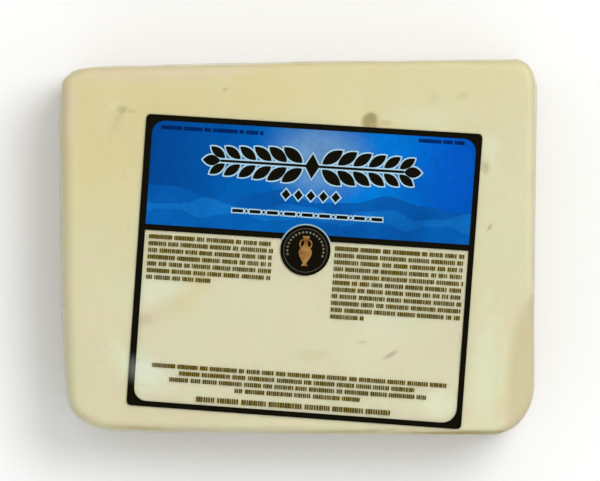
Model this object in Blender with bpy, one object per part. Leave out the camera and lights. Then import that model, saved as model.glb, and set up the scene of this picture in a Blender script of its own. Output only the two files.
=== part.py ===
"""A block of feta shrunk tight in clear film, with a clear printed label on its broad face.

The block lies on its other broad face, which is flat. The origin is at the middle of that face,
+X runs along the block's length, +Y along its width, and +Z is up. Sizes are in metres.
"""

import math

import bmesh
import bpy
from mathutils import Vector
from mathutils.bvhtree import BVHTree

MM = 0.001

# The block: half a kilo's portion, five inches by four
BLOCK_LENGTH = 127.0 * MM
BLOCK_WIDTH = 100.8 * MM
BLOCK_HEIGHT = 35.0 * MM

# How far each rounded corner of the plan runs along the length and along the width
FAR_LEFT_CORNER = (10.0 * MM, 6.3 * MM)
FAR_RIGHT_CORNER = (5.5 * MM, 8.0 * MM)
NEAR_LEFT_CORNER = (15.5 * MM, 10.5 * MM)
NEAR_RIGHT_CORNER = (13.5 * MM, 14.0 * MM)
LEAST_CORNER = 1.2 * MM

# How far the sides of the hand-cut block run in from a true rectangle
LEFT_LEAN = 2.6 * MM
RIGHT_LEAN = 0.8 * MM
FAR_TAPER = 2.2 * MM
NEAR_TAPER = 1.3 * MM
TAPER_BEND = 1.3

# Round of the upper edges, and how far each side swells at half height: left, right, near, far
EDGE_ROUND = (5.0 * MM, 3.0 * MM, 3.6 * MM, 3.2 * MM)
SIDE_SWELL = (1.3 * MM, 0.6 * MM, 0.8 * MM, 0.6 * MM)
SIDE_PULL = 3
BASE_ROUND = 4.0 * MM

# The broad face: a low crown, long waves left by the press, and the worn near right edge
CROWN = 0.5 * MM
WAVE_HEIGHT = 0.22 * MM
LONG_WAVE = 19.0 * MM
CROSS_WAVE = 13.0 * MM
SHORT_WAVE = 8.5 * MM
LONG_PHASE = 0.6
CROSS_PHASE = -0.4
SHORT_SLANT = 1.7
SHORT_SHARE = 0.5
WORN_DROP = 3.4 * MM
WORN_LINE = 54.0 * MM
WORN_FLARE = 8.5 * MM
WORN_START = -11.0 * MM
WORN_FADE = 8.0 * MM
WORN_SLOPE = 9.0 * MM

# Shallow hollows in the broad face: place, radius and depth
HOLLOWS = (
    ((-41.0 * MM, -31.0 * MM), 8.0 * MM, 0.45 * MM),
    ((-35.0 * MM, -11.0 * MM), 6.5 * MM, 0.35 * MM),
    ((24.0 * MM, -26.0 * MM), 7.0 * MM, 0.30 * MM),
    ((19.0 * MM, 35.0 * MM), 5.5 * MM, 0.45 * MM),
    ((-46.0 * MM, 34.0 * MM), 6.0 * MM, 0.35 * MM),
)

# The label: a clear sticker, put on a little askew
LABEL_LENGTH = 89.6 * MM
LABEL_WIDTH = 77.9 * MM
LABEL_CORNER = 0.9 * MM
LABEL_CENTRE = (1.45 * MM, -6.1 * MM)
LABEL_TURN = math.radians(-3.95)
LABEL_THICKNESS = 0.25 * MM
LABEL_CLEARANCE = 0.3 * MM

# Grid lines along the length and the width, and rows up the side
BLOCK_LINES = (36, 30)
LABEL_LINES = (22, 19)
GRADING = 0.6
ROUND_ROWS = 4
SIDE_ROWS = 5
RAY_HEIGHT = 2 * BLOCK_HEIGHT

# Looks: colours are linear
FETA_COLOUR = (0.70, 0.66, 0.44)
FETA_ROUGHNESS = 0.25
LABEL_COLOUR = (0.05, 0.25, 0.62)
LABEL_ROUGHNESS = 0.3
SHARP_ANGLE = math.radians(40)


def graded(cells):
    """Grid lines from -1 to 1, closer together towards both ends."""
    even = [2 * i / cells - 1 for i in range(cells + 1)]
    return [(1 - GRADING) * t + GRADING * math.sin(math.pi * t / 2) for t in even]


def round_plan(u, v, half, radii):
    """The point (u, v) of a square from -1 to 1, drawn out to a rectangle with rounded corners."""
    point = [abs(u) * half[0], abs(v) * half[1]]
    past = [(p - h + r) / r for p, h, r in zip(point, half, radii)]
    if min(past) > 0:
        shrink = max(past) / math.hypot(*past)
        point = [h - r + r * e * shrink for h, r, e in zip(half, radii, past)]
    return math.copysign(point[0], u), math.copysign(point[1], v)


def corner_radii(u, v):
    if v > 0:
        return FAR_RIGHT_CORNER if u > 0 else FAR_LEFT_CORNER
    return NEAR_RIGHT_CORNER if u > 0 else NEAR_LEFT_CORNER


def between_sides(u, v, values):
    """Blends four values, for the left, right, near and far side, by how near each side is."""
    nearness = [((1 + s) / 2) ** SIDE_PULL for s in (-u, u, -v, v)]
    return sum(n * value for n, value in zip(nearness, values)) / sum(nearness)


def lean_sides(x, y):
    """Draws a true rectangle in to the uneven outline of the real block."""
    to_left = min(max(0.5 - x / BLOCK_LENGTH, 0), 1)
    to_near = min(max(0.5 - y / BLOCK_WIDTH, 0), 1)
    left_in = LEFT_LEAN * max(2 * to_near - 1, 0) ** 2
    right_in = RIGHT_LEAN * to_near
    far_in = FAR_TAPER * to_left**TAPER_BEND
    near_in = NEAR_TAPER * to_left
    x += left_in * to_left - right_in * (1 - to_left)
    y += near_in * to_near - far_in * (1 - to_near)
    return x, y


def smooth_step(t):
    t = min(max(t, 0), 1)
    return t * t * (3 - 2 * t)


def face_drop(x, y):
    """How far the broad face lies below BLOCK_HEIGHT at (x, y)."""
    crown = CROWN * ((2 * x / BLOCK_LENGTH) ** 2 + (2 * y / BLOCK_WIDTH) ** 2) / 2
    wave = math.sin(x / LONG_WAVE + LONG_PHASE) * math.cos(y / CROSS_WAVE + CROSS_PHASE)
    wave += SHORT_SHARE * math.sin((x + SHORT_SLANT * y) / SHORT_WAVE)
    hollows = sum(
        depth * math.exp(-((x - place[0]) ** 2 + (y - place[1]) ** 2) / radius**2)
        for place, radius, depth in HOLLOWS
    )
    worn_from = WORN_LINE + WORN_FLARE * math.exp((y - WORN_START) / WORN_FADE)
    worn = WORN_DROP * smooth_step((x - worn_from) / WORN_SLOPE)
    return crown + WAVE_HEIGHT * (1 - wave) + hollows + worn


def block_point(u, v, inset, height):
    """The point of the block's skin at the square's (u, v), this far in from its side.

    The broad face's dips fade out down the side, so the base stays flat.
    """
    swell = between_sides(u, v, SIDE_SWELL) * (1 - math.sin(math.pi * height / BLOCK_HEIGHT))
    inset += swell
    half = (BLOCK_LENGTH / 2 - inset, BLOCK_WIDTH / 2 - inset)
    radii = [max(r - inset, LEAST_CORNER) for r in corner_radii(u, v)]
    x, y = lean_sides(*round_plan(u, v, half, radii))
    height -= face_drop(x, y) * (height / BLOCK_HEIGHT) ** 2
    return Vector((x, y, height))


def side_rows(u, v):
    """(inset, height) of each row up the side, from the flat base to the broad face."""
    edge = between_sides(u, v, EDGE_ROUND)
    rows = []
    for i in range(ROUND_ROWS + 1):
        angle = math.pi / 2 * i / ROUND_ROWS
        rows.append((BASE_ROUND * (1 - math.sin(angle)), BASE_ROUND * (1 - math.cos(angle))))
    rise = (BLOCK_HEIGHT - BASE_ROUND - edge) / SIDE_ROWS
    rows += [(0, BASE_ROUND + rise * i) for i in range(1, SIDE_ROWS)]
    for i in range(ROUND_ROWS + 1):
        angle = math.pi / 2 * i / ROUND_ROWS
        rows.append((edge * (1 - math.cos(angle)), BLOCK_HEIGHT - edge * (1 - math.sin(angle))))
    return rows


def rim_of(columns, rows):
    """Grid places round the rim of a grid, anticlockwise from its near left corner."""
    near = [(i, 0) for i in range(columns)]
    right = [(columns, j) for j in range(rows)]
    far = [(i, rows) for i in range(columns, 0, -1)]
    left = [(0, j) for j in range(rows, 0, -1)]
    return near + right + far + left


def add_grid(mesh, columns, rows, point_at):
    """Adds a sheet of four-sided faces that look up, and gives its vertices by grid place."""
    made = {}
    for i in range(columns + 1):
        for j in range(rows + 1):
            made[i, j] = mesh.verts.new(point_at(i, j))
    for i in range(columns):
        for j in range(rows):
            mesh.faces.new((made[i, j], made[i + 1, j], made[i + 1, j + 1], made[i, j + 1]))
    return made


def add_band(mesh, lower, upper):
    """Joins two rings, both anticlockwise from above, by faces that look outwards."""
    count = len(lower)
    for k in range(count):
        after = (k + 1) % count
        mesh.faces.new((lower[k], lower[after], upper[after], upper[k]))


def block_mesh():
    mesh = bmesh.new()
    columns, rows = BLOCK_LINES
    us, vs = graded(columns), graded(rows)

    def on_face(i, j):
        inset = between_sides(us[i], vs[j], EDGE_ROUND)
        return block_point(us[i], vs[j], inset, BLOCK_HEIGHT)

    face = add_grid(mesh, columns, rows, on_face)
    rim = rim_of(columns, rows)
    sides = [side_rows(us[i], vs[j])[:-1] for i, j in rim]
    rings = []
    for row in range(len(sides[0])):
        ring = []
        for (i, j), heights in zip(rim, sides):
            ring.append(mesh.verts.new(block_point(us[i], vs[j], *heights[row])))
        rings.append(ring)
    rings.append([face[place] for place in rim])
    for lower, upper in zip(rings, rings[1:]):
        add_band(mesh, lower, upper)
    mesh.faces.new(reversed(rings[0]))
    return mesh


def label_mesh(block):
    """A thin sheet laid on the block: each of its points is dropped straight down onto the skin."""
    skin = BVHTree.FromBMesh(block)
    mesh = bmesh.new()
    columns, rows = LABEL_LINES
    us, vs = graded(columns), graded(rows)
    half = (LABEL_LENGTH / 2, LABEL_WIDTH / 2)
    cos, sin = math.cos(LABEL_TURN), math.sin(LABEL_TURN)

    def at_height(lift):
        def on_label(i, j):
            along, across = round_plan(us[i], vs[j], half, (LABEL_CORNER, LABEL_CORNER))
            x = LABEL_CENTRE[0] + along * cos - across * sin
            y = LABEL_CENTRE[1] + along * sin + across * cos
            met = skin.ray_cast(Vector((x, y, RAY_HEIGHT)), Vector((0, 0, -1)))[0]
            return Vector((x, y, met.z + lift))

        return on_label

    lower = add_grid(mesh, columns, rows, at_height(LABEL_CLEARANCE))
    bmesh.ops.reverse_faces(mesh, faces=mesh.faces[:])
    upper = add_grid(mesh, columns, rows, at_height(LABEL_CLEARANCE + LABEL_THICKNESS))
    rim = rim_of(columns, rows)
    add_band(mesh, [lower[place] for place in rim], [upper[place] for place in rim])
    return mesh


def finish(name, colour, roughness):
    material = bpy.data.materials.new(name)
    material.use_nodes = True
    shader = material.node_tree.nodes["Principled BSDF"]
    shader.inputs["Base Color"].default_value = (*colour, 1.0)
    shader.inputs["Roughness"].default_value = roughness
    shader.inputs["Metallic"].default_value = 0.0
    return material


def add_object(name, mesh, material):
    data = bpy.data.meshes.new(name)
    mesh.to_mesh(data)
    mesh.free()
    data.materials.append(material)
    data.shade_smooth()
    data.set_sharp_from_angle(angle=SHARP_ANGLE)
    made = bpy.data.objects.new(name, data)
    bpy.context.scene.collection.objects.link(made)


def main():
    for old in list(bpy.data.objects):
        bpy.data.objects.remove(old)
    block = block_mesh()
    label = label_mesh(block)
    add_object("wrapped_block", block, finish("feta_in_film", FETA_COLOUR, FETA_ROUGHNESS))
    add_object("label", label, finish("printed_label", LABEL_COLOUR, LABEL_ROUGHNESS))


main()
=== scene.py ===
"""Builds the looks of a feta block shrunk in clear film: cheese, film, printed label and stage.

It is laid out as an add-on. Run as a script, it registers its classes and makes every piece.
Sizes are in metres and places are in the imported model's frame, with +Z up. Places on the label
are in millimetres, along and down from the upper left corner of its black border.
"""

import functools
import math
import random
from typing import NamedTuple

import bmesh
import bpy
import numpy as np
from bpy.props import FloatProperty, FloatVectorProperty, PointerProperty
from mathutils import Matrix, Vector, noise
from mathutils.bvhtree import BVHTree
from mathutils.geometry import delaunay_2d_cdt


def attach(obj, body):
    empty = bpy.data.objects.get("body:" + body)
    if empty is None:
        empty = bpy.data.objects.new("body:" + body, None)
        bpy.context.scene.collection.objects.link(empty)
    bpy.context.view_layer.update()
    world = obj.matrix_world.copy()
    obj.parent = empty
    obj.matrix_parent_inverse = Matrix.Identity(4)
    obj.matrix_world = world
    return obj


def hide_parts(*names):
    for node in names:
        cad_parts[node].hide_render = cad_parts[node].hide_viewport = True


bl_info = {
    "name": "Feta Block in Clear Film",
    "version": (1, 0, 0),
    "blender": (4, 5, 0),
    "location": "3D View > Sidebar > Feta",
    "description": "Adds a block of feta in shrink film with a printed label, and its studio stage",
    "category": "Object",
}

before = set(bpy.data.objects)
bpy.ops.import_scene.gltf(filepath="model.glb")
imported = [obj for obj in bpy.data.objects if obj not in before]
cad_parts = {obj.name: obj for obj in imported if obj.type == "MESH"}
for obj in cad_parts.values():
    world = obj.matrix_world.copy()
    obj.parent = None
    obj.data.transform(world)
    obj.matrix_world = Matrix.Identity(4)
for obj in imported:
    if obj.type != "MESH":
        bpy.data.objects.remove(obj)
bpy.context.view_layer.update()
MM = 0.001

# The block's form: its solid's, but for tighter corners and edges, and waves in its walls
BLOCK_LENGTH = 127.0 * MM
BLOCK_WIDTH = 100.8 * MM
BLOCK_HEIGHT = 35.0 * MM
FAR_LEFT_CORNER = (9.0 * MM, 5.4 * MM)
FAR_RIGHT_CORNER = (5.5 * MM, 8.0 * MM)
NEAR_LEFT_CORNER = (13.6 * MM, 8.8 * MM)
NEAR_RIGHT_CORNER = (12.6 * MM, 13.0 * MM)
LEAST_CORNER = 1.2 * MM
LEFT_LEAN = 2.6 * MM
RIGHT_LEAN = 0.8 * MM
FAR_TAPER = 2.2 * MM
NEAR_TAPER = 1.3 * MM
TAPER_BEND = 1.3
EDGE_ROUND = (3.4 * MM, 2.1 * MM, 2.2 * MM, 2.0 * MM)
SIDE_SWELL = (1.0 * MM, 0.5 * MM, 0.3 * MM, 0.5 * MM)
SIDE_PULL = 3
WALL_WAVE = 0.28 * MM
WALL_WAVE_SIZE = 15.0 * MM
BASE_ROUND = 4.0 * MM
LEFT_BULGE = 0.25 * MM
LEFT_BULGE_PLACE = 31.8 * MM
LEFT_BULGE_WIDTH = 6.0 * MM
CROWN = 0.5 * MM
WAVE_HEIGHT = 0.22 * MM
LONG_WAVE = 19.0 * MM
CROSS_WAVE = 13.0 * MM
SHORT_WAVE = 8.5 * MM
LONG_PHASE = 0.6
CROSS_PHASE = -0.4
SHORT_SLANT = 1.7
SHORT_SHARE = 0.5
WORN_DROP = 3.4 * MM
WORN_LINE = 52.6 * MM
WORN_FLARE = 10.0 * MM
WORN_START = -11.0 * MM
WORN_FADE = 8.0 * MM
WORN_SLOPE = 9.0 * MM
HOLLOWS = (
    ((-41.0 * MM, -31.0 * MM), 8.0 * MM, 0.45 * MM),
    ((-35.0 * MM, -11.0 * MM), 6.5 * MM, 0.35 * MM),
    ((24.0 * MM, -26.0 * MM), 7.0 * MM, 0.30 * MM),
    ((19.0 * MM, 35.0 * MM), 5.5 * MM, 0.45 * MM),
    ((-46.0 * MM, 34.0 * MM), 6.0 * MM, 0.35 * MM),
)
GRADING = 0.6

# Fineness of the meshes: grid lines over the broad face both ways, and rows up the side
CHEESE_GRID = (228, 182, 34)
FILM_GRID = (190, 152, 50)
INNER_GRID = (90, 72, 12)
ROUND_ROWS = 9
RAY_HEIGHT = 2 * BLOCK_HEIGHT
SHARP_ANGLE = math.radians(40)

# The corners of the block's plan, and the walls between them: left, right, near and far
CORNERS = ((-1, -1), (-1, 1), (1, -1), (1, 1))
WALLS = (((-1, -1), (-1, 1)), ((1, -1), (1, 1)), ((-1, -1), (1, -1)), ((-1, 1), (1, 1)))

# The label's place on the block and the sheet's size, with the same values as its solid
LABEL_CENTRE = (1.45 * MM, -6.1 * MM)
LABEL_TURN = math.radians(-3.95)
SHEET_LENGTH = 89.6 * MM
SHEET_WIDTH = 77.9 * MM

# The printed part of the label, and the round of the sheet's corners, in millimetres
PRINT_LENGTH = 89.1
PRINT_WIDTH = 77.4
SHEET_CORNER = 0.9

# How print is made: joined where outlines overlap, cut into cells and given a thickness
JOIN_INSIDE = 1
JOIN_DISTANCE = 0.001 * MM
PRINT_CELL = 2.0 * MM
INK_THICKNESS = 0.015 * MM

# How far each of the label's corners is pulled, along and up the label
CORNER_PULL = {
    (-1, 1): (-0.05 * MM, 0.0),
    (1, 1): (0.4 * MM, 0.75 * MM),
    (1, -1): (0.0, -0.6 * MM),
    (-1, -1): (-0.1 * MM, -0.22 * MM),
}

# How high the sheet's two faces lie above the film, how high each layer of ink lies above the
# one below, and the layer that each print is in
SHEET_LOW = 0.04 * MM
SHEET_TOP = 0.20 * MM
LAYER_STEP = 0.03 * MM
INK_LAYERS = {
    "blue_panel": 1,
    "left_rows": 1,
    "right_rows": 1,
    "foot_rows": 1,
    "panel_rows": 2,
    "sea_light": 2,
    "sea_middle": 3,
    "sea_dark": 4,
    "label_border": 5,
    "leaf_band_outline": 6,
    "ornaments_outline": 6,
    "leaf_band": 7,
    "ornaments": 7,
    "seal_disc": 7,
    "seal_rim": 7,
    "seal_lines": 8,
    "seal_jar": 8,
}


def srgb(red, green, blue):
    """A screen colour, 0 to 255, as the linear values that Blender's colours hold."""
    shares = [value / 255 for value in (red, green, blue)]
    return tuple(s / 12.92 if s <= 0.04045 else ((s + 0.055) / 1.055) ** 2.4 for s in shares)


def colour_property(name, description, default):
    return FloatVectorProperty(
        name=name, description=description, default=default, subtype="COLOR", size=3, min=0, max=1
    )


def length_property(name, description, default):
    return FloatProperty(
        name=name, description=description, default=default, unit="LENGTH", min=0, precision=5
    )


class FetaCheeseSettings(bpy.types.PropertyGroup):
    """Colours and relief of the cheese"""

    cream: colour_property("Cream", "Most of the cheese", srgb(212, 209, 171))
    rosy: colour_property("Rosy", "The faintly pink patches", srgb(215, 201, 169))
    butter: colour_property("Butter", "The yellower patches", srgb(213, 201, 147))
    # The cheese's own whitish patches, and also a painted reflection: the film's glare and a
    # dimple's lit side are painted in this colour
    pale: colour_property("Pale", "The whitish patches", srgb(217, 222, 190))
    # Also partly painted shade where it tints pits, cracks and the worn facet
    tan: colour_property("Tan", "Smears and worn edges", srgb(198, 183, 140))
    # Real pockets of brine, and also painted shade: in a small dimple, partly in the deepest pits,
    # and along the near edge
    brine_and_painted_shade: colour_property("Brine", "Pockets that hold brine", srgb(168, 152, 92))
    # Painted shade: the colour painted at the bottom of small cracks, where shade falls
    painted_crack_shade: colour_property("Dark", "The bottom of a crack", srgb(128, 118, 78))
    contact: length_property("Contact", "How far the cheese lies inside the film's face", 0.12 * MM)
    lumps: length_property("Lumps", "Height of the cheese's soft lumps", 0.07 * MM)


class FetaFilmSettings(bpy.types.PropertyGroup):
    """Thickness and folds of the clear film"""

    thickness: length_property("Thickness", "Thickness of the film", 0.3 * MM)
    crease_height: length_property("Crease Height", "How far a crease stands proud", 0.3 * MM)
    crease_width: length_property("Crease Width", "Half the width of a crease", 0.75 * MM)
    roughness: FloatProperty(
        name="Roughness", description="Roughness of the film", default=0.12, min=0, max=1
    )


class FetaLabelSettings(bpy.types.PropertyGroup):
    """Colours of the label's printing"""

    black: colour_property("Black", "Border, ornament and seal", srgb(16, 14, 4))
    fine_print: colour_property("Fine Print", "The rows of fine ticks", srgb(92, 78, 4))
    deep_blue: colour_property("Deep Blue", "Left end of the panel, and washes", srgb(0, 62, 138))
    bright_blue: colour_property("Bright Blue", "Most of the panel", srgb(0, 122, 216))
    right_blue: colour_property("Right Blue", "Right end of the panel", srgb(0, 90, 200))
    glow: colour_property("Glow", "The light in the middle of the panel", srgb(140, 180, 205))
    sea_light: colour_property("Sea Light", "The upper wave", srgb(4, 94, 178))
    sea_middle: colour_property("Sea Middle", "The middle wave", srgb(14, 114, 198))
    sea_dark: colour_property("Sea Dark", "The lower wave", srgb(4, 100, 184))
    navy: colour_property("Navy", "The rows of ticks on the blue", srgb(0, 26, 84))
    outline: colour_property("Outline", "Outlines of the ornaments", srgb(170, 208, 228))
    seal_rim: colour_property("Seal Rim", "The seal's rim on the blue", srgb(150, 186, 200))
    seal_lines: colour_property("Seal Lines", "Ring and dots on the seal", srgb(116, 112, 96))
    tan: colour_property("Tan", "The jar on the seal", srgb(178, 132, 74))
    brown: colour_property("Brown", "Clouds on the jar", srgb(104, 62, 24))
    # The sheet's faint haze, and the whitish colour of the painted glare on the label
    haze_and_painted_glare: colour_property("Gloss", "The sheet's faint haze", srgb(230, 234, 226))


class FetaStageSettings(bpy.types.PropertyGroup):
    """Floor, light and camera"""

    floor: colour_property("Floor", "Colour of the floor", (0.96, 0.96, 0.96))
    key_power: FloatProperty(
        name="Key Light", description="Power of the key light", default=15.0, min=0, unit="POWER"
    )
    sky: FloatProperty(
        name="Sky", description="Strength of the light from all round", default=0.9, min=0
    )
    zenith: FloatProperty(
        name="Zenith", description="Strength of the light from straight above", default=0.5, min=0
    )
    distance: length_property("Camera Distance", "From the broad face to the camera", 4.0)
    view_width: length_property("View Width", "Width of the view at the broad face", 159.5 * MM)


class FetaSettings(bpy.types.PropertyGroup):
    """All settings of the feta block"""

    cheese: PointerProperty(type=FetaCheeseSettings)
    film: PointerProperty(type=FetaFilmSettings)
    label: PointerProperty(type=FetaLabelSettings)
    stage: PointerProperty(type=FetaStageSettings)


# The block's form


def graded(cells):
    """Grid lines from -1 to 1, closer together towards both ends."""
    even = [2 * i / cells - 1 for i in range(cells + 1)]
    return [(1 - GRADING) * t + GRADING * math.sin(math.pi * t / 2) for t in even]


def round_plan(u, v, half, radii):
    """The point (u, v) of a square from -1 to 1, drawn out to a rectangle with rounded corners."""
    point = [abs(u) * half[0], abs(v) * half[1]]
    past = [(p - h + r) / r for p, h, r in zip(point, half, radii)]
    if min(past) > 0:
        shrink = max(past) / math.hypot(*past)
        point = [h - r + r * e * shrink for h, r, e in zip(half, radii, past)]
    return math.copysign(point[0], u), math.copysign(point[1], v)


def corner_radii(u, v):
    if v > 0:
        return FAR_RIGHT_CORNER if u > 0 else FAR_LEFT_CORNER
    return NEAR_RIGHT_CORNER if u > 0 else NEAR_LEFT_CORNER


def between_sides(u, v, values):
    """Blends four values, for the left, right, near and far side, by how near each side is."""
    nearness = [((1 + s) / 2) ** SIDE_PULL for s in (-u, u, -v, v)]
    return sum(n * value for n, value in zip(nearness, values)) / sum(nearness)


def lean_sides(x, y):
    """Draws a true rectangle in to the uneven outline of the real block."""
    to_left = min(max(0.5 - x / BLOCK_LENGTH, 0), 1)
    to_near = min(max(0.5 - y / BLOCK_WIDTH, 0), 1)
    left_in = LEFT_LEAN * max(2 * to_near - 1, 0) ** 2
    right_in = RIGHT_LEAN * to_near
    far_in = FAR_TAPER * to_left**TAPER_BEND
    near_in = NEAR_TAPER * to_left
    bulge = LEFT_BULGE * math.exp(-(((y - LEFT_BULGE_PLACE) / LEFT_BULGE_WIDTH) ** 2))
    x += (left_in - bulge * to_left**4) * to_left - right_in * (1 - to_left)
    y += near_in * to_near - far_in * (1 - to_near)
    return x, y


def smooth_step(t):
    t = min(max(t, 0), 1)
    return t * t * (3 - 2 * t)


def worn_share(x, y):
    """0 on the broad face, rising to 1 where its near right edge is worn away."""
    worn_from = WORN_LINE + WORN_FLARE * math.exp((y - WORN_START) / WORN_FADE)
    return smooth_step((x - worn_from) / WORN_SLOPE)


def face_drop(x, y):
    """How far the broad face lies below BLOCK_HEIGHT at (x, y)."""
    crown = CROWN * ((2 * x / BLOCK_LENGTH) ** 2 + (2 * y / BLOCK_WIDTH) ** 2) / 2
    wave = math.sin(x / LONG_WAVE + LONG_PHASE) * math.cos(y / CROSS_WAVE + CROSS_PHASE)
    wave += SHORT_SHARE * math.sin((x + SHORT_SLANT * y) / SHORT_WAVE)
    hollows = sum(
        depth * math.exp(-((x - place[0]) ** 2 + (y - place[1]) ** 2) / radius**2)
        for place, radius, depth in HOLLOWS
    )
    worn = WORN_DROP * worn_share(x, y)
    return crown + WAVE_HEIGHT * (1 - wave) + hollows + worn


def block_point(u, v, inset, height):
    """The point of the block's skin at the square's (u, v), this far in from its side."""
    mid_share = math.sin(math.pi * height / BLOCK_HEIGHT)
    swell = between_sides(u, v, SIDE_SWELL) * (1 - mid_share)
    place = Vector((u * BLOCK_LENGTH / 2, v * BLOCK_WIDTH / 2, height)) / WALL_WAVE_SIZE
    hollow = WALL_WAVE * max(0.5 + noise.noise(place), 0) * mid_share
    inset += swell + hollow
    half = (BLOCK_LENGTH / 2 - inset, BLOCK_WIDTH / 2 - inset)
    radii = [max(r - inset, LEAST_CORNER) for r in corner_radii(u, v)]
    x, y = lean_sides(*round_plan(u, v, half, radii))
    height -= face_drop(x, y) * (height / BLOCK_HEIGHT) ** 2
    return Vector((x, y, height))


def on_wall(wall, share, height):
    """A point of one wall, at a share of the way from its first corner to its last."""
    u, v = (a + (b - a) * share for a, b in zip(*wall))
    return block_point(u, v, 0, height)


def side_rows(u, v, count):
    """(inset, height) of each row up the side, from the flat base to the broad face."""
    edge = between_sides(u, v, EDGE_ROUND)
    turns = [math.pi / 2 * i / ROUND_ROWS for i in range(ROUND_ROWS + 1)]
    rows = [(BASE_ROUND * (1 - math.sin(t)), BASE_ROUND * (1 - math.cos(t))) for t in turns]
    rise = (BLOCK_HEIGHT - BASE_ROUND - edge) / count
    rows += [(0, BASE_ROUND + rise * i) for i in range(1, count)]
    rows += [(edge * (1 - math.cos(t)), BLOCK_HEIGHT - edge * (1 - math.sin(t))) for t in turns]
    return rows


def rim_of(columns, rows):
    """Grid places round the rim of a grid, anticlockwise from its near left corner."""
    near = [(i, 0) for i in range(columns)]
    right = [(columns, j) for j in range(rows)]
    far = [(i, rows) for i in range(columns, 0, -1)]
    left = [(0, j) for j in range(rows, 0, -1)]
    return near + right + far + left


def add_grid(mesh, columns, rows, point_at):
    """Adds a sheet of four-sided faces that look up, and gives its vertices by grid place."""
    made = {}
    for i in range(columns + 1):
        for j in range(rows + 1):
            made[i, j] = mesh.verts.new(point_at(i, j))
    for i in range(columns):
        for j in range(rows):
            mesh.faces.new((made[i, j], made[i + 1, j], made[i + 1, j + 1], made[i, j + 1]))
    return made


def add_band(mesh, lower, upper):
    """Joins two rings, both anticlockwise from above, by faces that look outwards."""
    count = len(lower)
    for k in range(count):
        after = (k + 1) % count
        mesh.faces.new((lower[k], lower[after], upper[after], upper[k]))


def add_block(mesh, columns, rows, side_count):
    """Adds the block's closed form as a fine mesh with a flat base, and gives its vertices."""
    before = len(mesh.verts)
    us, vs = graded(columns), graded(rows)

    def on_face(i, j):
        inset = between_sides(us[i], vs[j], EDGE_ROUND)
        return block_point(us[i], vs[j], inset, BLOCK_HEIGHT)

    face = add_grid(mesh, columns, rows, on_face)
    rim = rim_of(columns, rows)
    sides = [side_rows(us[i], vs[j], side_count)[:-1] for i, j in rim]
    rings = []
    for row in range(len(sides[0])):
        ring = []
        for (i, j), heights in zip(rim, sides):
            ring.append(mesh.verts.new(block_point(us[i], vs[j], *heights[row])))
        rings.append(ring)
    rings.append([face[place] for place in rim])
    for lower, upper in zip(rings, rings[1:]):
        add_band(mesh, lower, upper)
    mesh.faces.new(reversed(rings[0]))
    mesh.normal_update()
    return mesh.verts[before:]


def points_and_normals(verts):
    points = np.array([vert.co for vert in verts])
    normals = np.array([vert.normal for vert in verts])
    return points, normals


def move_points(verts, points):
    for vert, point in zip(verts, points):
        vert.co = point


def keep_values(mesh, name, values):
    """Keeps a value at each of a mesh's first points, for its material to read."""
    kept = mesh.verts.layers.float.new(name)
    for vert, value in zip(mesh.verts, values):
        vert[kept] = value


def new_object(name, data):
    item = bpy.data.objects.new(name, data)
    bpy.context.scene.collection.objects.link(item)
    return item


def mesh_object(name, mesh, material):
    """Turns a mesh into an object with one material."""
    data = bpy.data.meshes.new(name)
    mesh.to_mesh(data)
    mesh.free()
    data.materials.append(material)
    return new_object(name, data)


def add_piece(name, mesh, material, replaced=()):
    """Turns a mesh into a smooth piece that rides on the part's one body."""
    piece = mesh_object(name, mesh, material)
    piece.data.shade_smooth()
    piece.data.set_sharp_from_angle(angle=SHARP_ANGLE)
    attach(piece, "root")
    for node in replaced:
        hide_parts(node)
    return piece


# Shader nodes. A Mix node's sockets for colours are found by their numbers

MIX_SHARE = 0
MIX_FIRST = 6
MIX_SECOND = 7
MIX_RESULT = 2
NODE_STEP = 180
PEEL_FINENESS = 6.0


def feed(tree, socket, value):
    """Sets an input to a value, or links it to the output that is given."""
    if isinstance(value, bpy.types.NodeSocket):
        tree.links.new(value, socket)
    elif socket.type == "RGBA":
        socket.default_value = (*value, 1)
    else:
        socket.default_value = value


def add_node(tree, kind, inputs=None, **settings):
    node = tree.nodes.new(kind)
    node.location.x = NODE_STEP * len(tree.nodes)
    for key, value in settings.items():
        setattr(node, key, value)
    for key, value in (inputs or {}).items():
        feed(tree, node.inputs[key], value)
    return node


def maths(tree, operation, *values, clamp=False):
    node = add_node(tree, "ShaderNodeMath", operation=operation, use_clamp=clamp)
    for socket, value in zip(node.inputs, values):
        feed(tree, socket, value)
    return node.outputs[0]


def mix_colours(tree, share, first, second):
    node = add_node(tree, "ShaderNodeMix", data_type="RGBA")
    for place, value in ((MIX_SHARE, share), (MIX_FIRST, first), (MIX_SECOND, second)):
        feed(tree, node.inputs[place], value)
    return node.outputs[MIX_RESULT]


def soft_range(tree, value, low, high):
    """0 below low, 1 above high, and a smooth rise between them. Low may be above high."""
    node = add_node(
        tree,
        "ShaderNodeMapRange",
        {"Value": value, "From Min": low, "From Max": high},
        interpolation_type="SMOOTHSTEP",
    )
    return node.outputs["Result"]


def soft_share(tree, value, low, high, share):
    """A soft range that rises to a share, not to 1."""
    return maths(tree, "MULTIPLY", soft_range(tree, value, low, high), share)


def distance_away(tree, along, across):
    """The length of an arrow on a plane, from its two parts."""
    squares = [maths(tree, "MULTIPLY", value, value) for value in (along, across)]
    return maths(tree, "SQRT", maths(tree, "ADD", *squares))


def named_group(name, inputs, outputs):
    """An empty node group with float sockets, and its input and output nodes."""
    group = bpy.data.node_groups.new(name, "ShaderNodeTree")
    for label, default in inputs:
        socket = group.interface.new_socket(label, in_out="INPUT", socket_type="NodeSocketFloat")
        socket.default_value = default
    for label in outputs:
        group.interface.new_socket(label, in_out="OUTPUT", socket_type="NodeSocketFloat")
    return group, group.nodes.new("NodeGroupInput"), group.nodes.new("NodeGroupOutput")


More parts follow.
